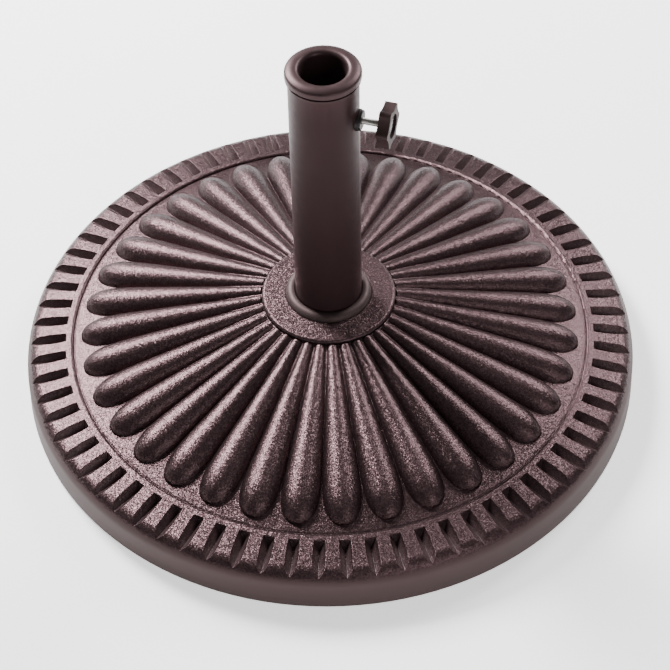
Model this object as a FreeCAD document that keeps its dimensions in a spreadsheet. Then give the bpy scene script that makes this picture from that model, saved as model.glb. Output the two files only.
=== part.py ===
import FreeCAD, Part
import math
import os
from types import SimpleNamespace

import Sketcher

# Parasol base: a round ballast dish with raised petals, an upright tube with
# a moulded cap, and a lock screw that clamps the parasol pole.
# Origin at the centre of the ground face, +Z up, millimetres.
# The lock screw points along +X.

os.makedirs("parts", exist_ok=True)
doc = FreeCAD.newDocument("parasol_base")

SIZES = {
    # ballast dish
    "base_radius": 280.0,
    "skirt_foot": 2.0,
    "skirt_draft": 1.4,
    "shoulder_start": 24.6,
    "shoulder_radius": 15.0,
    "band_slope": 3.4,
    "band_height": 42.3,
    "step_radius": 236.2,
    "step_run": 1.7,
    "step_rounding": 2.6,
    "groove_depth": 0.7,
    "wall": 3.0,
    "field_outer_height": 41.4,
    "field_inner_height": 80.8,
    "hub_radius": 60.5,
    "hub_edge_height": 86.3,
    "hub_edge_radius": 2.6,
    "hub_crown": 0.7,
    "collar_seat_radius": 39.0,
    "collar_seat_height": 83.0,
    "shell_hole_radius": 32.0,
    # petals and notches
    "petal_count": 36,
    "petal_sink": 1.5,
    "notch_count": 72,
    "notch_inner": 241.6,
    "notch_outer": 285.0,
    "notch_root_floor": 33.4,
    "notch_mouth_floor": 35.2,
    "notch_root_flare": 0.5,
    "notch_mouth_flare": 1.49,
    "notch_end_lean": 20.0,
    "notch_reach": 12.0,
    # ballast and underside
    "fit_gap": 0.3,
    "core_foot": 9.0,
    "recess_height": 16.0,
    "recess_radius": 212.0,
    "washer_pocket_radius": 27.0,
    "washer_pocket_height": 22.0,
    "core_hole_radius": 7.5,
    "plate_thickness": 3.0,
    "screw_circle": 262.0,
    "screw_count": 8,
    "pad_circle": 248.0,
    "pad_count": 6,
    "pad_radius": 12.0,
    # socket and fixing
    "socket_floor": 40.0,
    "socket_top": 79.4,
    "socket_radius": 31.5,
    "socket_bore": 30.2,
    "flange_radius": 45.0,
    "flange_thickness": 3.0,
    "end_plate_bottom": 44.0,
    "end_plate_top": 50.0,
    "bolt_radius": 5.9,
    "hex_radius": 10.39,
    # tubes
    "steel_tube_radius": 24.0,
    "steel_tube_bore": 22.5,
    "tube_top": 333.6,
    "sleeve_foot": 61.5,
    "sleeve_foot_radius": 29.9,
    "sleeve_top_radius": 29.1,
    "sleeve_wall": 2.5,
    "pole_radius": 19.2,
    # cap
    "cap_radius": 31.3,
    "throat_foot": 308.0,
    "lip_height": 342.1,
    "lip_edge_radius": 3.0,
    "lip_top_radius": 11.0,
    "lip_throat_radius": 4.16,
    # lock screw
    "screw_height": 298.5,
    "stud_radius": 2.95,
    "boss_radius": 6.0,
    "boss_inner": 22.7,
    "boss_face": 32.6,
    "boss_flange": 8.6,
    "boss_washer_radius": 9.3,
    "knob_inner": 48.6,
    "knob_thickness": 9.8,
    "knob_radius": 17.9,
    "lobe_radius": 3.1,
    "facet_radius": 18.7,
    "knob_recess_radius": 10.2,
    "knob_recess_depth": 2.6,
}


class Size:
    """A length with its number and the text that binds it to the sheet."""

    def __init__(self, number, text):
        self.number = number
        self.text = text

    def __add__(self, other):
        other = as_size(other)
        return Size(self.number + other.number, f"({self.text} + {other.text})")

    def __sub__(self, other):
        other = as_size(other)
        return Size(self.number - other.number, f"({self.text} - {other.text})")

    def __mul__(self, factor):
        factor = as_size(factor)
        return Size(self.number * factor.number, f"({self.text} * {factor.text})")

    def __neg__(self):
        return Size(-self.number, f"(-{self.text})")


def as_size(value):
    """Wrap a plain number as a Size."""
    if isinstance(value, Size):
        return value
    return Size(float(value), f"{float(value):.6f}")


def make_sheet():
    """Write the driving sizes to a spreadsheet and return them as Size values."""
    sheet = doc.addObject("Spreadsheet::Sheet", "Sizes")
    for row, (name, value) in enumerate(SIZES.items(), start=1):
        sheet.set(f"A{row}", name)
        sheet.set(f"B{row}", str(value))
        sheet.setAlias(f"B{row}", name)
    doc.recompute()
    return SimpleNamespace(**{name: Size(float(value), f"Sizes.{name}") for name, value in SIZES.items()})


s = make_sheet()
nodes = []


def new_body(label, lift=None):
    """Start the body of one sub-part."""
    body = doc.addObject("PartDesign::Body", label)
    body.Label = label
    height = 0.0 if lift is None else lift.number
    body.Placement = FreeCAD.Placement(FreeCAD.Vector(0, 0, height), FreeCAD.Rotation())
    if lift is not None:
        body.setExpression("Placement.Base.z", lift.text)
    nodes.append(body)
    return body


def origin_feature(body, role):
    """Return one of the body's own origin planes or axes."""
    return next(item for item in body.Origin.OriginFeatures if item.Role == role)


def new_sketch(body, name, plane="XZ_Plane", offset=None):
    """Attach an empty sketch to one of the body's origin planes."""
    sketch = body.newObject("Sketcher::SketchObject", name)
    sketch.AttachmentSupport = [(origin_feature(body, plane), "")]
    sketch.MapMode = "FlatFace"
    if offset is not None:
        shift = FreeCAD.Vector(0, 0, offset.number)
        sketch.AttachmentOffset = FreeCAD.Placement(shift, FreeCAD.Rotation())
        sketch.setExpression("AttachmentOffset.Base.z", offset.text)
    return sketch


def bind(sketch, constraint, size):
    """Add a dimension to the sketch and tie it to the sheet."""
    index = sketch.addConstraint(constraint)
    if "Sizes." in size.text:
        sketch.setExpression(f"Constraints[{index}]", size.text)


def fix_point(sketch, edge, end, x, y):
    """Give one end of an edge its two coordinates."""
    for size, kind, axis in ((x, "DistanceX", -2), (y, "DistanceY", -1)):
        if abs(size.number) < 1e-9:
            sketch.addConstraint(Sketcher.Constraint("PointOnObject", edge, end, axis))
        else:
            bind(sketch, Sketcher.Constraint(kind, edge, end, size.number), size)


def arc_between(start, finish, radius):
    """Minor arc from start to finish: anticlockwise for a positive radius."""
    chord = finish - start
    reach = math.sqrt(max(radius * radius - chord.Length ** 2 / 4, 0.0))
    side = FreeCAD.Vector(-chord.y, chord.x, 0).normalize() * math.copysign(reach, radius)
    centre = (start + finish) * 0.5 + side
    first, last = (start, finish) if radius > 0 else (finish, start)
    angles = [math.atan2(point.y - centre.y, point.x - centre.x) for point in (first, last)]
    circle = Part.Circle(centre, FreeCAD.Vector(0, 0, 1), abs(radius))
    return Part.ArcOfCircle(circle, angles[0], angles[1])


def draw_outline(sketch, corners):
    """Draw a closed outline through corners (x, y) or (x, y, radius).

    The radius belongs to the arc that leads on from that corner to the next
    one: positive turns anticlockwise, negative clockwise.
    """
    points = [(as_size(corner[0]), as_size(corner[1])) for corner in corners]
    vectors = [FreeCAD.Vector(x.number, y.number, 0) for x, y in points]
    ends = []
    for index, corner in enumerate(corners):
        following = vectors[(index + 1) % len(corners)]
        if len(corner) == 3:
            radius = as_size(corner[2])
            edge = sketch.addGeometry(arc_between(vectors[index], following, radius.number))
            ends.append((edge, 1, 2) if radius.number > 0 else (edge, 2, 1))
            size = radius if radius.number > 0 else -radius
            bind(sketch, Sketcher.Constraint("Radius", edge, size.number), size)
        else:
            edge = sketch.addGeometry(Part.LineSegment(vectors[index], following))
            ends.append((edge, 1, 2))
    for index, (edge, _, finish) in enumerate(ends):
        following, start, _ = ends[(index + 1) % len(ends)]
        sketch.addConstraint(Sketcher.Constraint("Coincident", edge, finish, following, start))
    for (edge, start, _), (x, y) in zip(ends, points):
        fix_point(sketch, edge, start, x, y)


def draw_circle(sketch, x, y, radius):
    """Draw a circle whose centre and radius are bound."""
    x, y, radius = as_size(x), as_size(y), as_size(radius)
    circle = Part.Circle(FreeCAD.Vector(x.number, y.number, 0), FreeCAD.Vector(0, 0, 1), radius.number)
    edge = sketch.addGeometry(circle)
    bind(sketch, Sketcher.Constraint("Radius", edge, radius.number), radius)
    fix_point(sketch, edge, 3, x, y)


def revolve(body, name, corners, axis="V_Axis", angle=360.0):
    """Turn an outline, drawn in the XZ plane, about the sketch's own axis."""
    sketch = new_sketch(body, f"{name}_outline")
    draw_outline(sketch, corners)
    feature = body.newObject("PartDesign::Revolution", name)
    feature.Profile = sketch
    feature.ReferenceAxis = (sketch, [axis])
    feature.Angle = angle
    body.Tip = feature
    return feature


def extrude(body, name, kind, sketch, length, reverse=False):
    """Pad or pocket a sketch by a bound length."""
    feature = body.newObject(f"PartDesign::{kind}", name)
    feature.Profile = sketch
    feature.Length = length.number
    if "Sizes." in length.text:
        feature.setExpression("Length", length.text)
    feature.Reversed = reverse
    body.Tip = feature
    return feature


def round_pattern(body, name, original, count):
    """Repeat a feature round the body's own Z axis."""
    pattern = body.newObject("PartDesign::PolarPattern", name)
    pattern.Originals = [original]
    pattern.Axis = (origin_feature(body, "Z_Axis"), [""])
    pattern.Angle = 360.0
    pattern.Occurrences = int(count.number)
    pattern.setExpression("Occurrences", count.text)
    body.Tip = pattern
    return pattern


def round_bar(label, corners, axis="V_Axis", lift=None, angle=360.0):
    """Make a sub-part that is one turned outline."""
    body = new_body(label, lift=lift)
    revolve(body, f"{label}_turned", corners, axis, angle)
    return body


def field_height(radius):
    """Height of the petal field at a radius: a shallow cone up to the hub."""
    run = SIZES["step_radius"] - SIZES["step_run"] - SIZES["hub_radius"]
    rise = (s.field_inner_height - s.field_outer_height) * (1.0 / run)
    return s.field_outer_height + rise * (SIZES["step_radius"] - SIZES["step_run"] - radius)


# Ballast dish

# Petal stations: distance from the axis, half width and height of the crest.
PETAL_STATIONS = (
    (61.5, 4.8, 2.9),
    (100.0, 8.2, 5.5),
    (140.0, 11.8, 8.1),
    (175.0, 14.9, 10.3),
    (196.0, 16.3, 11.2),
    (209.5, 15.7, 10.9),
    (218.0, 13.1, 9.3),
    (223.6, 9.2, 6.8),
    (227.0, 3.6, 2.9),
)


def petal_section(body, name, radius, half_width, crest):
    """Cross-section of the raised petal at one distance from the axis."""
    sketch = new_sketch(body, name, "YZ_Plane", as_size(radius))
    floor = field_height(radius)
    arc = (half_width ** 2 + crest ** 2) / (2 * crest)
    draw_outline(sketch, [
        (-half_width, floor - s.petal_sink),
        (half_width, floor - s.petal_sink),
        (half_width, floor, arc),
        (-half_width, floor),
    ])
    return sketch


def notch_section(body, name, radius, floor, flare, lean):
    """V section of a rim notch, drawn up from the notch's floor line."""
    sketch = new_sketch(body, name, "YZ_Plane", radius)
    rotation = FreeCAD.Rotation(FreeCAD.Vector(1, 0, 0), -lean)
    sketch.AttachmentOffset = FreeCAD.Placement(FreeCAD.Vector(0, floor.number, radius.number), rotation)
    sketch.setExpression("AttachmentOffset.Base.y", floor.text)
    half = s.notch_reach * flare
    draw_outline(sketch, [(0, 0), (half, s.notch_reach), (-half, s.notch_reach)])
    return sketch


def make_base_shell():
    """Moulded dish: skirt, shoulder, notched band, petals and raised hub."""
    body = new_body("base_shell")
    skirt_top = s.base_radius - s.skirt_draft
    shoulder_top = s.shoulder_start + s.shoulder_radius
    field_edge = s.step_radius - s.step_run
    rim_floor = s.notch_root_floor - s.wall
    revolve(body, "dish", [
        (s.base_radius, s.skirt_foot),
        (skirt_top, s.shoulder_start, s.shoulder_radius),
        (skirt_top - s.shoulder_radius, shoulder_top),
        (s.step_radius + 1.2, shoulder_top + s.band_slope, s.step_rounding),
        (field_edge, s.field_outer_height - s.groove_depth),
        (field_edge - 1.6, s.field_outer_height),
        (s.hub_radius, s.field_inner_height),
        (s.hub_radius, s.hub_edge_height - s.hub_edge_radius, s.hub_edge_radius),
        (s.hub_radius - s.hub_edge_radius, s.hub_edge_height),
        (s.collar_seat_radius, s.hub_edge_height + s.hub_crown),
        (s.collar_seat_radius, s.collar_seat_height),
        (s.shell_hole_radius, s.collar_seat_height),
        (s.shell_hole_radius, s.collar_seat_height - s.wall),
        (s.hub_radius - 10.5, s.collar_seat_height - s.wall),
        (s.hub_radius + 1.5, s.field_inner_height - s.wall - 0.6),
        (field_edge - 2.6, s.field_outer_height - s.wall + 0.5),
        (s.step_radius + 1.8, rim_floor),
        (skirt_top - s.shoulder_radius, rim_floor),
        (s.base_radius - 6.5, s.shoulder_start - 0.6),
        (s.base_radius - s.wall - 0.1, s.skirt_foot),
    ])
    sections = [petal_section(body, f"petal_section_{index}", *row) for index, row in enumerate(PETAL_STATIONS)]
    petal = body.newObject("PartDesign::AdditiveLoft", "petal")
    petal.Profile = sections[0]
    petal.Sections = sections[1:]
    body.Tip = petal
    doc.recompute()
    round_pattern(body, "petals", petal, s.petal_count)
    notch = body.newObject("PartDesign::SubtractiveLoft", "notch")
    lean = SIZES["notch_end_lean"]
    root_radius = s.notch_inner + (s.band_height - s.notch_root_floor) * math.tan(math.radians(lean))
    root = notch_section(body, "notch_root", root_radius, s.notch_root_floor, s.notch_root_flare, lean)
    mouth = notch_section(body, "notch_mouth", s.notch_outer, s.notch_mouth_floor, s.notch_mouth_flare, 0.0)
    notch.Profile = root
    notch.Sections = [mouth]
    body.Tip = notch
    doc.recompute()
    round_pattern(body, "notches", notch, s.notch_count)


def make_concrete_core():
    """Ballast that fills the dish, with room for the socket and the screws."""
    body = new_body("concrete_core")
    socket_side = s.socket_radius + s.fit_gap
    flange_side = s.flange_radius + s.fit_gap
    top = s.collar_seat_height - s.wall - s.fit_gap
    rim_top = s.notch_root_floor - s.wall - s.fit_gap
    revolve(body, "ballast", [
        (s.core_hole_radius, s.washer_pocket_height),
        (s.washer_pocket_radius, s.washer_pocket_height),
        (s.washer_pocket_radius, s.recess_height),
        (s.recess_radius, s.recess_height),
        (s.recess_radius + 10, s.core_foot),
        (s.base_radius - 4.6, s.core_foot),
        (s.base_radius - 7.0, s.shoulder_start - 0.8),
        (s.base_radius - 16.8, rim_top),
        (s.step_radius + 1.6, rim_top),
        (s.step_radius - 4.8, s.field_outer_height - s.wall + 0.1),
        (s.hub_radius + 1.2, s.field_inner_height - s.wall - 0.9),
        (s.hub_radius - 10.8, top),
        (socket_side, top),
        (socket_side, s.socket_floor + s.flange_thickness + s.fit_gap),
        (flange_side, s.socket_floor + s.flange_thickness + s.fit_gap),
        (flange_side, s.socket_floor - 0.1),
        (s.core_hole_radius, s.socket_floor - 0.1),
    ])
    sketch = new_sketch(body, "pilot_circle", "XY_Plane", s.core_foot)
    draw_circle(sketch, s.screw_circle * math.cos(PILOT_ANGLE), s.screw_circle * math.sin(PILOT_ANGLE), 2.3)
    pilot = extrude(body, "pilot", "Pocket", sketch, as_size(13.0), reverse=True)
    doc.recompute()
    round_pattern(body, "pilots", pilot, s.screw_count)


# The first underside screw sits half a step round from the first foot pad.
PILOT_ANGLE = math.pi / SIZES["screw_count"]


def make_underside_plate():
    """Dished plate that closes the underside, with screw holes and a bolt hole."""
    body = new_body("underside_plate")
    under = s.core_foot - 0.2 - s.plate_thickness
    recess_under = s.recess_height - 0.2 - s.plate_thickness
    revolve(body, "dished_plate", [
        (s.washer_pocket_radius + 0.2, recess_under),
        (s.recess_radius - 1.2, recess_under),
        (s.recess_radius + 8.8, under),
        (s.base_radius - 4.7, under),
        (s.base_radius - 4.7, s.core_foot - 0.2),
        (s.recess_radius + 10.1, s.core_foot - 0.2),
        (s.recess_radius + 0.1, s.recess_height - 0.2),
        (s.washer_pocket_radius + 0.2, s.recess_height - 0.2),
    ])
    sketch = new_sketch(body, "screw_hole_circle", "XY_Plane", s.core_foot)
    draw_circle(sketch, s.screw_circle * math.cos(PILOT_ANGLE), s.screw_circle * math.sin(PILOT_ANGLE), 2.3)
    hole = extrude(body, "screw_hole", "Pocket", sketch, as_size(6.0))
    doc.recompute()
    round_pattern(body, "screw_holes", hole, s.screw_count)


def round_group(label, make_piece, count, first_angle, circle):
    """Set identical small pieces round the axis and keep them as one node."""
    pieces = []
    for index in range(int(count.number)):
        angle = first_angle + 2 * math.pi * index / count.number
        piece = make_piece(f"{label}_{index}")
        spot = FreeCAD.Vector(circle.number * math.cos(angle), circle.number * math.sin(angle), 0)
        piece.Placement = FreeCAD.Placement(spot, FreeCAD.Rotation())
        piece.setExpression("Placement.Base.x", (circle * math.cos(angle)).text)
        piece.setExpression("Placement.Base.y", (circle * math.sin(angle)).text)
        pieces.append(piece)
    group = doc.addObject("Part::Compound", label)
    group.Label = label
    group.Links = pieces
    nodes.append(group)


def make_underside_screw(name):
    """Pan-head screw, head down."""
    head_top = SIZES["core_foot"] - 0.2 - SIZES["plate_thickness"]
    shank = doc.addObject("Part::Cylinder", f"{name}_shank")
    shank.Radius = 2.0
    shank.Height = 13.4
    shank.Placement.Base.z = head_top - 0.4
    head = doc.addObject("Part::Cone", f"{name}_head")
    head.Radius1 = 3.2
    head.Radius2 = 4.4
    head.Height = 2.4
    head.Placement.Base.z = head_top - 2.4
    screw = doc.addObject("Part::Fuse", name)
    screw.Base = shank
    screw.Tool = head
    return screw


def make_foot_pad(name):
    """Tapered rubber pad, glued under the plate."""
    pad = doc.addObject("Part::Cone", name)
    pad.Radius1 = SIZES["pad_radius"] - 1.0
    pad.Radius2 = SIZES["pad_radius"]
    pad.setExpression("Radius1", (s.pad_radius - 1.0).text)
    pad.setExpression("Radius2", s.pad_radius.text)
    pad.Height = 5.8
    pad.setExpression("Height", (s.core_foot - 0.2 - s.plate_thickness).text)
    return pad


# Socket and fixing

def make_hub_socket():
    """Steel cup with an anchor flange, cast into the ballast."""
    bolt_hole = s.bolt_radius + 0.7
    round_bar("hub_socket", [
        (bolt_hole, s.socket_floor),
        (s.flange_radius, s.socket_floor),
        (s.flange_radius, s.socket_floor + s.flange_thickness),
        (s.socket_radius, s.socket_floor + s.flange_thickness),
        (s.socket_radius, s.socket_top),
        (s.socket_bore, s.socket_top),
        (s.socket_bore, s.end_plate_bottom),
        (bolt_hole, s.end_plate_bottom),
    ])


def ring(label, inner, outer, bottom, top, angle=360.0):
    """Flat ring with a square section."""
    corners = [(inner, bottom), (outer, bottom), (outer, top), (inner, top)]
    return round_bar(label, corners, angle=angle)


def hexagon(sketch, radius):
    """Draw a hexagon round the origin."""
    draw_outline(sketch, [
        (radius * math.cos(math.pi * side / 3), radius * math.sin(math.pi * side / 3))
        for side in range(6)
    ])


def make_fixing_bolt():
    """Hexagon-head bolt, head in the steel tube and thread down through the core."""
    body = new_body("fixing_bolt")
    seat = s.end_plate_top + 0.05
    head = new_sketch(body, "bolt_head_hexagon", "XY_Plane", seat)
    hexagon(head, s.hex_radius)
    extrude(body, "bolt_head", "Pad", head, as_size(7.5))
    shank = new_sketch(body, "bolt_shank_circle", "XY_Plane", seat)
    draw_circle(shank, 0, 0, s.bolt_radius)
    extrude(body, "bolt_shank", "Pad", shank, as_size(45.8), reverse=True)


def make_fixing_nut():
    """Hexagon nut under the core."""
    body = new_body("fixing_nut")
    sketch = new_sketch(body, "nut_hexagon", "XY_Plane", s.washer_pocket_height - 15.8)
    hexagon(sketch, s.hex_radius)
    draw_circle(sketch, 0, 0, s.bolt_radius + 0.1)
    extrude(body, "nut", "Pad", sketch, as_size(9.8))


def make_fixing():
    """Everything that bolts the tube to the ballast."""
    make_hub_socket()
    ring("tube_end_plate", s.bolt_radius + 0.4, s.socket_bore - 1.2, s.end_plate_bottom + 0.05, s.end_plate_top)
    ring("centering_bush", s.steel_tube_radius + 0.1, s.socket_bore - 0.2, s.end_plate_top + 0.2, s.sleeve_foot - 0.2)
    make_fixing_bolt()
    under = s.washer_pocket_height
    ring("fixing_washer", s.bolt_radius + 0.5, as_size(24.0), under - 3.2, under - 0.1)
    ring("spring_washer", s.bolt_radius + 0.3, as_size(10.4), under - 5.8, under - 3.3, angle=348.0)
    make_fixing_nut()


# Tubes, collar and cap

def cut_screw_hole(body, name, radius):
    """Cut the lock screw's hole through the wall on the +X side."""
    sketch = new_sketch(body, f"{name}_circle", "YZ_Plane")
    draw_circle(sketch, 0, s.screw_height, radius)
    extrude(body, name, "Pocket", sketch, as_size(40.0), reverse=True)


def make_steel_tube():
    """Load-bearing tube inside the sleeve."""
    body = ring("steel_tube", s.steel_tube_bore, s.steel_tube_radius, s.end_plate_top + 0.05, s.tube_top)
    cut_screw_hole(body, "boss_hole", s.boss_radius + 0.1)


def make_sleeve_tube():
    """Moulded outer sleeve, drawn in slightly towards the top."""
    body = round_bar("sleeve_tube", [
        (s.sleeve_foot_radius - s.sleeve_wall, s.sleeve_foot),
        (s.sleeve_foot_radius, s.sleeve_foot),
        (s.sleeve_top_radius, s.tube_top),
        (s.sleeve_top_radius - s.sleeve_wall, s.tube_top),
    ])
    cut_screw_hole(body, "boss_clearance", s.boss_radius + 0.4)


def make_collar_ring():
    """Raised ring that finishes the joint between hub and sleeve."""
    inner = s.sleeve_foot_radius + 0.3
    outer = s.collar_seat_radius - 0.3
    foot = s.collar_seat_height + 0.1
    round_bar("collar_ring", [
        (inner, foot),
        (outer, foot),
        (outer, foot + 4.6, 6.2),
        (inner + 1.2, foot + 9.2, 1.4),
        (inner, foot + 8.2),
    ])


def make_cap_ring():
    """Moulded cap: rolled lip, bead between two grooves, and the pole's throat."""
    plug = s.steel_tube_bore - 0.2
    rim = s.sleeve_top_radius + 0.3
    edge = s.cap_radius - s.lip_edge_radius
    turn = math.radians(58)
    brow = edge + s.lip_edge_radius * math.cos(turn)
    brow_height = s.lip_height + s.lip_edge_radius * math.sin(turn)
    crest_height = s.lip_height + s.lip_throat_radius
    round_bar("cap_ring", [
        (s.pole_radius, s.throat_foot),
        (plug, s.throat_foot),
        (plug, s.tube_top + 0.3),
        (rim, s.tube_top + 0.3),
        (rim, s.tube_top + 0.9),
        (s.cap_radius - 2.0, s.tube_top + 1.3),
        (s.cap_radius - 2.0, s.tube_top + 1.8),
        (s.cap_radius - 0.6, s.tube_top + 2.3),
        (s.cap_radius - 0.5, s.tube_top + 3.2),
        (s.cap_radius - 1.7, s.tube_top + 3.7),
        (s.cap_radius - 1.7, s.tube_top + 4.5),
        (s.cap_radius - 0.4, s.tube_top + 4.9),
        (s.cap_radius, s.tube_top + 5.4),
        (s.cap_radius, s.lip_height, s.lip_edge_radius),
        (brow, brow_height, s.lip_top_radius),
        (s.pole_radius + s.lip_throat_radius, crest_height, s.lip_throat_radius),
        (s.pole_radius, s.lip_height),
    ])


def make_pole_seat():
    """Cup inside the steel tube on which the pole stands, with a drain hole."""
    outer = s.steel_tube_bore - 0.2
    foot = s.end_plate_top + 0.2
    round_bar("pole_seat", [
        (4, foot + 8.8),
        (14, foot + 8.8),
        (14, foot),
        (outer, foot),
        (outer, foot + 27.8),
        (s.pole_radius + 0.2, foot + 27.8),
        (s.pole_radius + 0.2, foot + 13.8),
        (4, foot + 13.8),
    ])


# Lock screw: outlines are drawn as (distance from the tube's axis, radius).

def make_lock_boss():
    """Threaded boss welded to the steel tube."""
    round_bar("lock_boss", [
        (s.boss_inner, s.stud_radius + 0.08),
        (s.boss_inner, s.boss_radius),
        (s.boss_face - 1.7, s.boss_radius),
        (s.boss_face - 1.7, s.boss_flange),
        (s.boss_face - 0.6, s.boss_flange),
        (s.boss_face, s.boss_flange - 0.6),
        (s.boss_face, s.stud_radius + 0.08),
    ], "H_Axis", s.screw_height)


def make_boss_washer():
    """Thick washer, hollowed underneath to sit on the round sleeve."""
    body = new_body("boss_washer", lift=s.screw_height)
    outer_face = s.boss_face - 1.8
    revolve(body, "washer_disc", [
        (s.steel_tube_radius + 2.0, s.boss_radius + 0.3),
        (s.steel_tube_radius + 2.0, s.boss_washer_radius),
        (outer_face - 0.6, s.boss_washer_radius),
        (outer_face, s.boss_washer_radius - 0.6),
        (outer_face, s.boss_radius + 0.3),
    ], "H_Axis")
    sketch = new_sketch(body, "sleeve_circle", "XY_Plane", as_size(-12.0))
    draw_circle(sketch, 0, 0, s.sleeve_top_radius + 0.4)
    extrude(body, "saddle", "Pocket", sketch, as_size(24.0), reverse=True)


def make_lock_knob():
    """Six-lobed knob with a shallow recess in its outer face."""
    body = new_body("lock_knob", lift=s.screw_height)
    sketch = new_sketch(body, "knob_lobes", "YZ_Plane", s.knob_inner)
    corners = []
    for lobe in range(6):
        middle = math.radians(52 + 60 * lobe)
        for turn, radius in ((-8, s.lobe_radius), (8, -s.facet_radius)):
            angle = middle + math.radians(turn)
            corners.append((s.knob_radius * math.cos(angle), s.knob_radius * math.sin(angle), radius))
    draw_outline(sketch, corners)
    extrude(body, "knob", "Pad", sketch, s.knob_thickness)
    recess = new_sketch(body, "knob_recess_circle", "YZ_Plane", s.knob_inner + s.knob_thickness)
    draw_circle(recess, 0, 0, s.knob_recess_radius)
    extrude(body, "knob_recess", "Pocket", recess, s.knob_recess_depth)
    insert = new_sketch(body, "insert_hole_circle", "YZ_Plane", s.knob_inner)
    draw_circle(insert, 0, 0, 5.0)
    extrude(body, "insert_hole", "Pocket", insert, as_size(5.4), reverse=True)


def make_screw_parts():
    """Stud, its insert in the knob, the disc on the knob and the pressure pad."""
    recess_floor = s.knob_inner + s.knob_thickness - s.knob_recess_depth
    tip = s.pole_radius + 0.5
    pad_back = tip + 2.0
    lift = s.screw_height
    round_bar("lock_stud", [
        (pad_back + 0.1, 1.2),
        (pad_back + 0.1, 2.3),
        (pad_back + 0.75, s.stud_radius),
        (s.knob_inner + 5.0, s.stud_radius),
        (s.knob_inner + 5.0, 0),
        (pad_back + 3.4, 0),
        (pad_back + 3.4, 1.2),
    ], "H_Axis", lift)
    round_bar("pressure_pad", [
        (tip, 0),
        (tip, 1.9),
        (tip + 0.6, 2.5),
        (pad_back, 2.5),
        (pad_back, 1.14),
        (pad_back + 3.0, 1.14),
        (pad_back + 3.0, 0),
    ], "H_Axis", lift)
    round_bar("knob_insert", [
        (s.knob_inner + 0.1, s.stud_radius + 0.05),
        (s.knob_inner + 0.1, 4.9),
        (s.knob_inner + 5.3, 4.9),
        (s.knob_inner + 5.3, s.stud_radius + 0.05),
    ], "H_Axis", lift)
    round_bar("knob_disc", [
        (recess_floor + 0.1, 0),
        (recess_floor + 1.0, 0),
        (recess_floor + 0.8, 7.4),
        (recess_floor + 0.3, s.knob_recess_radius - 0.2),
        (recess_floor + 0.1, s.knob_recess_radius - 0.2),
    ], "H_Axis", lift)


make_base_shell()
make_concrete_core()
make_underside_plate()
round_group("underside_screws", make_underside_screw, s.screw_count, PILOT_ANGLE, s.screw_circle)
round_group("foot_pads", make_foot_pad, s.pad_count, 0.0, s.pad_circle)
make_fixing()
make_steel_tube()
make_sleeve_tube()
make_collar_ring()
make_cap_ring()
make_pole_seat()
make_lock_boss()
make_boss_washer()
make_lock_knob()
make_screw_parts()
doc.recompute()

for item in doc.Objects:
    if {"Invalid", "Error"} & set(item.State):
        raise RuntimeError(f"{item.Label} is {item.State}")
for node in nodes:
    if node.Shape.isNull() or not node.Shape.isValid():
        raise RuntimeError(f"{node.Label} has no valid shape")
    node.Shape.exportStep(f"parts/{node.Label}.step")
    print(node.Label, len(node.Shape.Solids), round(node.Shape.Volume / 1000, 2), "cm3")
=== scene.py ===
import math

import bmesh
import bpy
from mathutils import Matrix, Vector


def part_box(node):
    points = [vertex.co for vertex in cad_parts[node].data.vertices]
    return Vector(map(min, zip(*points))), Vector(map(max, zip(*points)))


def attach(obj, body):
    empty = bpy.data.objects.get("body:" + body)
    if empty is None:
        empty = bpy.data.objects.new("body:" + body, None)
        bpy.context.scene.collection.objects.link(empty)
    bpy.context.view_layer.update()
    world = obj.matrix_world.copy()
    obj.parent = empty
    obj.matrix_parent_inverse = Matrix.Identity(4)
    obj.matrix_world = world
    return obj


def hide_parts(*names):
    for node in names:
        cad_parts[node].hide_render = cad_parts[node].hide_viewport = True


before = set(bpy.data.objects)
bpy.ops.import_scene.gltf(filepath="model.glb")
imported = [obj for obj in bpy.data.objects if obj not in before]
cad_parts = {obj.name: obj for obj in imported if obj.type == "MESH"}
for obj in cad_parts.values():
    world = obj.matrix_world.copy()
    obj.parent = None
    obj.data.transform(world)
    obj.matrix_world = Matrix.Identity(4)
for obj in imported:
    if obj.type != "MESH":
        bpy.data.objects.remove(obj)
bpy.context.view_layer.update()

# Looks of a parasol base. Metres, same frame as the CAD: the tube stands on
# the origin, +Z is up and the lock screw points along +X.

MM = 0.001
BASE_RADIUS = 0.280
CAMERA_SPIN = math.radians(17.8)
CAMERA_TILT = math.radians(48.43)
CAMERA_ROLL = math.radians(1.3)

# Top of the dish outside the petals: a flat band, then the rounded shoulder.
BAND_INNER = 0.2374
BAND_HEIGHT = 0.0430
SHOULDER_CENTRE = (0.2636, 0.0246)
SHOULDER_RADIUS = 0.015
SHOULDER_STOPS = 10
SHOULDER_STEP = 9.5

# Cells to the metre in the sandy paint of the dish's top.
SPECK_SCALE = 1100
FACET_SCALE = 1250
FACET_TILT = 0.30

FLOOR_GLOW = 1.0
WORLD_LIGHT = 0.22


# Camera

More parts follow.
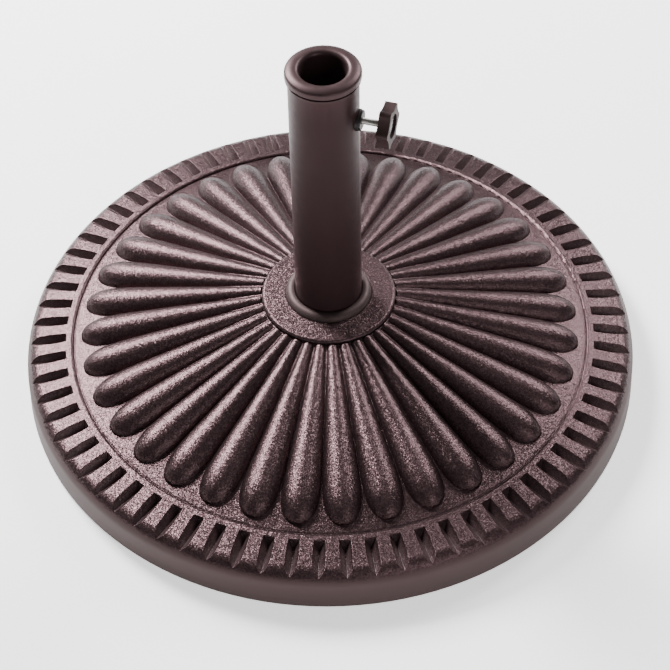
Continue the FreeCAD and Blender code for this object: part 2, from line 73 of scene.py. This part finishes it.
def place_camera():
    """Camera at the photograph's angle. Its distances are in radii of the base."""
    distance, shift_right, shift_up = 5.972, 0.0172, 0.0637
    ahead = Vector((0, math.cos(CAMERA_TILT), -math.sin(CAMERA_TILT)))
    right = Vector((1, 0, 0))
    above = Vector((0, math.sin(CAMERA_TILT), math.cos(CAMERA_TILT)))
    spot = (ahead * -distance + right * shift_right + above * shift_up) * BASE_RADIUS
    rolled_right = right * math.cos(CAMERA_ROLL) - above * math.sin(CAMERA_ROLL)
    rolled_above = right * math.sin(CAMERA_ROLL) + above * math.cos(CAMERA_ROLL)
    camera = bpy.data.objects.new("camera", bpy.data.cameras.new("camera"))
    camera.data.lens = 95.87
    camera.data.sensor_width = 36
    camera.data.clip_start = 0.05
    camera.data.clip_end = 20

    def swing(vector):
        return Vector((
            vector.x * math.cos(CAMERA_SPIN) - vector.y * math.sin(CAMERA_SPIN),
            vector.x * math.sin(CAMERA_SPIN) + vector.y * math.cos(CAMERA_SPIN),
            vector.z,
        ))

    columns = [swing(rolled_right), swing(rolled_above), swing(-ahead)]
    matrix = camera.matrix_world.copy()
    for column, vector in enumerate(columns):
        for row in range(3):
            matrix[row][column] = vector[row]
    for row, value in enumerate(swing(spot)):
        matrix[row][3] = value
    camera.matrix_world = matrix
    bpy.context.collection.objects.link(camera)
    bpy.context.scene.camera = camera


# Materials

class Nodes:
    """A material's node tree, with short calls for the nodes used here."""

    def __init__(self, name):
        self.material = bpy.data.materials.new(name)
        self.material.use_nodes = True
        self.tree = self.material.node_tree
        self.tree.nodes.clear()
        self.shader = self.tree.nodes.new("ShaderNodeBsdfPrincipled")
        output = self.tree.nodes.new("ShaderNodeOutputMaterial")
        self.tree.links.new(self.shader.outputs[0], output.inputs["Surface"])
        self.place = self.tree.nodes.new("ShaderNodeTexCoord").outputs["Object"]

    def link(self, value, socket):
        """Connect an output, or set a plain number or colour."""
        if isinstance(value, bpy.types.NodeSocket):
            self.tree.links.new(value, socket)
        else:
            socket.default_value = value

    def set(self, **values):
        """Set sockets of the shader by name, with _ for a space."""
        for name, value in values.items():
            self.link(value, self.shader.inputs[name.replace("_", " ")])

    def noise(self, scale, detail, roughness):
        node = self.tree.nodes.new("ShaderNodeTexNoise")
        self.link(self.place, node.inputs["Vector"])
        node.inputs["Scale"].default_value = scale
        node.inputs["Detail"].default_value = detail
        node.inputs["Roughness"].default_value = roughness
        return node.outputs["Fac"]

    def voronoi(self, scale):
        node = self.tree.nodes.new("ShaderNodeTexVoronoi")
        self.link(self.place, node.inputs["Vector"])
        node.inputs["Scale"].default_value = scale
        return node

    def cells(self, scale):
        """Distance from the middle of each cell."""
        return self.voronoi(scale).outputs["Distance"]

    def cell_shade(self, scale):
        """A random grey for each cell."""
        return self.axis("X", self.voronoi(scale).outputs["Color"])

    def curve(self, value, stops):
        """Grey ramp through (position, level) stops."""
        node = self.tree.nodes.new("ShaderNodeValToRGB")
        ramp = node.color_ramp
        for index, (position, level) in enumerate(stops):
            element = ramp.elements[index] if index < 2 else ramp.elements.new(position)
            element.position = position
            element.color = (level, level, level, 1)
        self.link(value, node.inputs["Fac"])
        return node.outputs["Color"]

    def arithmetic(self, kind, first, second):
        node = self.tree.nodes.new("ShaderNodeMath")
        node.operation = kind
        self.link(first, node.inputs[0])
        self.link(second, node.inputs[1])
        return node.outputs[0]

    def mix(self, share, first, second):
        """Blend two colours, each an output or a tuple."""
        node = self.tree.nodes.new("ShaderNodeMix")
        node.data_type = "RGBA"
        node.clamp_factor = True
        self.link(share, node.inputs[0])
        self.link((*first, 1) if isinstance(first, tuple) else first, node.inputs[6])
        self.link((*second, 1) if isinstance(second, tuple) else second, node.inputs[7])
        return node.outputs[2]

    def axis(self, name, vector=None):
        node = self.tree.nodes.new("ShaderNodeSeparateXYZ")
        self.link(vector or self.place, node.inputs[0])
        return node.outputs[name]

    def radius(self):
        """Distance from the tube's axis."""
        return self.vector_math("LENGTH", self.vector_math("MULTIPLY", self.place, (1, 1, 0)))

    def rounded_edges(self, radius):
        """Normals rounded over sharp edges."""
        node = self.tree.nodes.new("ShaderNodeBevel")
        node.samples = 6
        node.inputs["Radius"].default_value = radius
        return node.outputs[0]

    def facets(self, scale, tilt, below):
        """Normals that lean at random from cell to cell, as on sanded paint."""
        shade = self.voronoi(scale).outputs["Color"]
        lean = self.vector_math("SUBTRACT", shade, (0.5, 0.5, 0.5))
        scaled = self.vector_math("SCALE", lean)
        self.link(tilt, scaled.node.inputs["Scale"])
        return self.vector_math("NORMALIZE", self.vector_math("ADD", below, scaled))

    def vector_math(self, kind, first, second=None):
        node = self.tree.nodes.new("ShaderNodeVectorMath")
        node.operation = kind
        self.link(first, node.inputs[0])
        if second is not None:
            self.link(second, node.inputs[1])
        return node.outputs["Value" if kind == "LENGTH" else "Vector"]

    def pointiness(self):
        return self.tree.nodes.new("ShaderNodeNewGeometry").outputs["Pointiness"]

    def bump(self, height, distance, strength=1.0, below=None):
        node = self.tree.nodes.new("ShaderNodeBump")
        self.link(height, node.inputs["Height"])
        node.inputs["Distance"].default_value = distance
        node.inputs["Strength"].default_value = strength
        if below is not None:
            self.tree.links.new(below, node.inputs["Normal"])
        return node.outputs[0]


def rim_profile():
    """Height of the band and shoulder at stops of the radius, both in metres."""
    stops = [(BAND_INNER, BAND_HEIGHT)]
    for step in range(SHOULDER_STOPS):
        turn = math.radians(90 - SHOULDER_STEP * step)
        stops.append((
            SHOULDER_CENTRE[0] + SHOULDER_RADIUS * math.cos(turn),
            SHOULDER_CENTRE[1] + SHOULDER_RADIUS * math.sin(turn),
        ))
    return stops


def dish_material():
    """Bronze-painted cast resin: sandy on top, smooth on the skirt, and painted shade in the
    notches, which are coloured darker and less metallic.
    """
    made = Nodes("dish_bronze")
    height = made.axis("Z")
    radius = made.radius()
    grit = made.noise(1300, 2, 0.6)
    cloud = made.noise(11, 3, 0.6)
    grained = made.curve(height, [(0.0316, 0.0), (0.0336, 1.0)])
    speck = made.curve(made.cell_shade(SPECK_SCALE), [(0.2, 0.2), (0.9, 0.8)])
    # Painted shade: where the top sinks below the band and shoulder, in the notches, the colour
    # turns darker and less metallic to stand for the shade there.
    sunk = made.arithmetic("SUBTRACT", made.curve(radius, rim_profile()), height)
    painted_notch_shade = made.arithmetic(
        "MULTIPLY",
        made.curve(sunk, [(0.0008, 0.0), (0.0050, 1.0)]),
        made.curve(radius, [(0.2405, 0.0), (0.2412, 1.0)]),
    )
    top = made.mix(speck, (0.034, 0.0190, 0.0212), (0.098, 0.060, 0.064))
    # Painted shade: the notches get a darker colour here and, below, less metal.
    top = made.mix(made.arithmetic("MULTIPLY", painted_notch_shade, 0.8), top, (0.055, 0.033, 0.035))
    metallic = made.mix(painted_notch_shade, (0.9, 0.9, 0.9), (0.35, 0.35, 0.35))
    skirt = made.mix(cloud, (0.046, 0.0240, 0.0235), (0.055, 0.0300, 0.0290))
    sandy = made.curve(grit, [(0.3, 0.28), (0.7, 0.42)])
    made.set(
        Base_Color=made.mix(grained, skirt, top),
        Metallic=made.mix(grained, (0.35, 0.35, 0.35), metallic),
        Roughness=made.mix(grained, (0.55, 0.55, 0.55), sandy),
        Specular_IOR_Level=0.3,
    )
    soft = made.bump(cloud, 0.3 * MM, 0.3, made.rounded_edges(0.7 * MM))
    sanded = made.facets(FACET_SCALE, made.arithmetic("MULTIPLY", grained, FACET_TILT), soft)
    grains = made.arithmetic("MULTIPLY", grit, grained)
    made.set(Normal=made.bump(grains, 0.16 * MM, 1.0, sanded))
    return made.material


def plastic_material(name, dark, light, roughness, metallic=0.2, gloss=0.2):
    """Painted moulded plastic: soft colour clouds, fine orange peel, and a painted highlight on
    sharp edges, which are coloured lighter.
    """
    made = Nodes(name)
    patches = made.noise(120, 3, 0.6)
    cloud = made.noise(24, 3, 0.55)
    # Painted highlight: convex edges, found by pointiness, are coloured lighter as if they caught
    # the light.
    painted_edge_highlight = made.curve(made.pointiness(), [(0.52, 0.0), (0.60, 1.0)])
    colour = made.mix(cloud, dark, light)
    edge_highlight_colour = tuple(min(1.0, 1.6 * part) for part in light)
    made.set(
        Base_Color=made.mix(made.arithmetic("MULTIPLY", painted_edge_highlight, 0.5), colour, edge_highlight_colour),
        Metallic=metallic,
        Specular_IOR_Level=gloss,
        Roughness=made.curve(patches, [(0.3, roughness - 0.04), (0.7, roughness + 0.06)]),
    )
    made.set(Normal=made.bump(made.noise(1400, 2, 0.5), 0.025 * MM, 0.6))
    return made.material


def metal_material(name, dark, light, roughness):
    """Zinc-plated steel with a mottled plating and a faint spangle."""
    made = Nodes(name)
    cloud = made.noise(160, 4, 0.6)
    spangle = made.noise(600, 3, 0.6)
    made.set(
        Base_Color=made.mix(cloud, dark, light),
        Metallic=1.0,
        Roughness=made.curve(spangle, [(0.3, roughness - 0.08), (0.7, roughness + 0.08)]),
        Normal=made.bump(made.noise(2500, 2, 0.5), 0.03 * MM, 0.5),
    )
    return made.material


def primer_material():
    """Black primer on steel: slight orange peel, grey where it is thin."""
    made = Nodes("black_primer")
    thin = made.curve(made.noise(45, 4, 0.65), [(0.52, 0.0), (0.75, 1.0)])
    made.set(
        Base_Color=made.mix(thin, (0.014, 0.010, 0.010), (0.030, 0.022, 0.021)),
        Metallic=0.1,
        Specular_IOR_Level=0.3,
        Roughness=made.curve(made.noise(300, 3, 0.6), [(0.3, 0.42), (0.7, 0.56)]),
        Normal=made.bump(made.noise(700, 2, 0.5), 0.08 * MM, 0.6),
    )
    return made.material


def concrete_material():
    """Cast concrete: grey cement, darker sand, light aggregate, and air holes with painted shade
    in them.
    """
    made = Nodes("cast_concrete")
    stain = made.noise(9, 4, 0.6)
    sand = made.noise(480, 3, 0.7)
    stone = made.curve(made.cells(70), [(0.10, 1.0), (0.22, 0.0)])
    hole = made.curve(made.cells(120), [(0.05, 1.0), (0.10, 0.0)])
    cement = made.mix(stain, (0.20, 0.19, 0.175), (0.33, 0.32, 0.30))
    cement = made.mix(made.curve(sand, [(0.35, 0.5), (0.6, 0.0)]), cement, (0.12, 0.115, 0.105))
    mixed = made.mix(made.arithmetic("MULTIPLY", stone, 0.4), cement, (0.42, 0.40, 0.37))
    made.set(
        # Painted shade: the air holes are coloured near black for the shade that falls inside
        # them; the bump below also sinks them.
        Base_Color=made.mix(hole, mixed, (0.07, 0.066, 0.06)),
        Roughness=made.curve(sand, [(0.3, 0.82), (0.7, 0.95)]),
        Normal=made.bump(made.arithmetic("SUBTRACT", sand, hole), 0.6 * MM, 0.8),
    )
    return made.material


def matt_material(name, dark, light, roughness, grain):
    """Dull moulded material with a fine grain, such as rubber or nylon."""
    made = Nodes(name)
    cloud = made.noise(30, 3, 0.6)
    pores = made.cells(900)
    patches = made.noise(200, 3, 0.6)
    made.set(
        Base_Color=made.mix(cloud, dark, light),
        Roughness=made.curve(patches, [(0.3, roughness - 0.06), (0.7, roughness + 0.06)]),
        Normal=made.bump(pores, grain, 0.7),
    )
    return made.material


def floor_material():
    """White paper sweep, lit through a little so that it stays pale."""
    made = Nodes("floor_white")
    made.set(Base_Color=(0.92, 0.92, 0.92, 1), Roughness=0.95, Specular_IOR_Level=0.0)
    made.set(Emission_Color=(1, 1, 1, 1), Emission_Strength=FLOOR_GLOW)
    return made.material


# Pieces that replace CAD nodes

def thread_radius(turns, root, crest):
    """Radius of a metric thread at a place along it, in turns from a crest."""
    flank = abs(2 * (turns % 1.0) - 1)
    return root + (crest - root) * min(1.0, max(0.0, (flank - 0.15) / 0.6))


def make_threaded_stud(material):
    """M6 stud with a helical thread, bored at its inner end for the pressure pad."""
    low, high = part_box("lock_stud")
    height = (low[2] + high[2]) / 2
    crest = (high[2] - low[2]) / 2
    pitch, thread_depth = 1.0 * MM, 0.5 * MM
    steps, sides = 8, 28
    bore, bore_depth, chamfer = 1.2 * MM, 3.4 * MM, 0.6 * MM
    length = high[0] - low[0]
    rows = int(length / pitch * steps)
    cells = bmesh.new()

    def make_ring(along, radius_at):
        ring = []
        for side in range(sides):
            angle = 2 * math.pi * side / sides
            radius = radius_at(side / sides)
            spot = (low[0] + along, radius * math.cos(angle), height + radius * math.sin(angle))
            ring.append(cells.verts.new(spot))
        return ring

    rings = [
        make_ring(bore_depth, lambda turn: bore),
        make_ring(0, lambda turn: bore),
    ]
    for row in range(rows + 1):
        along = length * row / rows
        limit = crest - max(0.0, chamfer - along)
        turns, root = along / pitch, crest - thread_depth
        rings.append(make_ring(
            along,
            lambda turn: min(limit, thread_radius(turns - turn, root, crest)),
        ))
    for ring, following in zip(rings, rings[1:]):
        for side in range(sides):
            after = (side + 1) % sides
            cells.faces.new((ring[side], ring[after], following[after], following[side]))
    cells.faces.new(reversed(rings[0]))
    cells.faces.new(rings[-1])
    bmesh.ops.recalc_face_normals(cells, faces=cells.faces)
    for face in cells.faces:
        face.smooth = len(face.verts) == 4
    mesh = bpy.data.meshes.new("threaded_stud")
    cells.to_mesh(mesh)
    cells.free()
    stud = bpy.data.objects.new("threaded_stud", mesh)
    bpy.context.collection.objects.link(stud)
    stud.data.materials.append(material)
    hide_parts("lock_stud")
    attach(stud, "lock_screw")


def round_edges(node, width):
    """Round the sharp edges of a CAD node that shows them."""
    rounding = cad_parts[node].modifiers.new("rounding", "BEVEL")
    rounding.width = width
    rounding.segments = 2
    rounding.limit_method = "ANGLE"
    rounding.angle_limit = math.radians(40)
    rounding.harden_normals = False


# Floor and light

def area_light(name, place, target, size, power):
    light = bpy.data.lights.new(name, "AREA")
    light.shape = "RECTANGLE"
    light.size, light.size_y = size
    light.energy = power
    lamp = bpy.data.objects.new(name, light)
    lamp.location = place
    aim = Vector(target) - Vector(place)
    lamp.rotation_euler = aim.to_track_quat("-Z", "Y").to_euler()
    bpy.context.collection.objects.link(lamp)


def around(image_azimuth, reach, height):
    """A place given by the direction it has in the photograph: 0 is right, 90 is away."""
    angle = math.radians(image_azimuth) + CAMERA_SPIN
    return (reach * math.cos(angle), reach * math.sin(angle), height)


def set_stage():
    mesh = bpy.data.meshes.new("floor")
    cells = bmesh.new()
    bmesh.ops.create_grid(cells, x_segments=1, y_segments=1, size=6)
    cells.to_mesh(mesh)
    cells.free()
    floor = bpy.data.objects.new("floor", mesh)
    floor.data.materials.append(floor_material())
    floor.location.z = -0.0002
    bpy.context.collection.objects.link(floor)
    world = bpy.data.worlds.new("studio")
    bpy.context.scene.world = world
    world.use_nodes = True
    background = world.node_tree.nodes["Background"]
    background.inputs["Color"].default_value = (1, 1, 1, 1)
    background.inputs["Strength"].default_value = WORLD_LIGHT
    area_light("key", around(130, 1.9, 1.7), (0, 0, 0.06), (0.62, 0.95), 200)
    area_light("rim", around(48, 1.8, 1.4), (0, 0, 0.06), (0.6, 0.9), 48)
    area_light("fill", around(-60, 1.5, 0.9), (0, 0, 0.05), (0.5, 0.7), 6)


place_camera()
set_stage()

dish = dish_material()
tube = plastic_material(
    "tube_bronze", (0.031, 0.0155, 0.0170), (0.039, 0.0205, 0.0220), 0.42, metallic=0.3, gloss=0.1,
)
cap = plastic_material(
    "cap_bronze", (0.046, 0.0260, 0.0280), (0.058, 0.0340, 0.0360), 0.42, metallic=0.6,
)
collar = plastic_material(
    "collar_bronze", (0.054, 0.0350, 0.0350), (0.068, 0.0450, 0.0450), 0.50, metallic=0.5,
)
knob = plastic_material(
    "knob_bronze", (0.024, 0.0140, 0.0140), (0.034, 0.0205, 0.0205), 0.52, gloss=0.08,
)
disc = plastic_material("disc_gloss", (0.030, 0.022, 0.022), (0.040, 0.030, 0.030), 0.22)
black = plastic_material("washer_black", (0.010, 0.008, 0.008), (0.016, 0.013, 0.013), 0.42)
zinc = metal_material("zinc_plate", (0.42, 0.40, 0.38), (0.62, 0.60, 0.57), 0.32)
primer = primer_material()
concrete = concrete_material()
plate = matt_material("plate_black", (0.012, 0.011, 0.011), (0.020, 0.019, 0.018), 0.55, 0.10 * MM)
rubber = matt_material("pad_rubber", (0.010, 0.010, 0.010), (0.020, 0.019, 0.019), 0.80, 0.16 * MM)
nylon = matt_material("nylon_white", (0.52, 0.51, 0.47), (0.66, 0.65, 0.61), 0.45, 0.05 * MM)

paint = {
    dish: ("base_shell",),
    tube: ("sleeve_tube",),
    cap: ("cap_ring",),
    collar: ("collar_ring",),
    knob: ("lock_knob",),
    disc: ("knob_disc",),
    black: ("boss_washer",),
    zinc: (
        "lock_stud", "knob_insert", "underside_screws", "fixing_bolt", "fixing_nut",
        "fixing_washer", "spring_washer",
    ),
    primer: ("hub_socket", "steel_tube", "tube_end_plate", "lock_boss"),
    concrete: ("concrete_core",),
    plate: ("underside_plate",),
    rubber: ("foot_pads",),
    nylon: ("centering_bush", "pole_seat", "pressure_pad"),
}
for material, names in paint.items():
    for name in names:
        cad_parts[name].data.materials.clear()
        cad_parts[name].data.materials.append(material)

make_threaded_stud(zinc)
round_edges("lock_knob", 0.5 * MM)
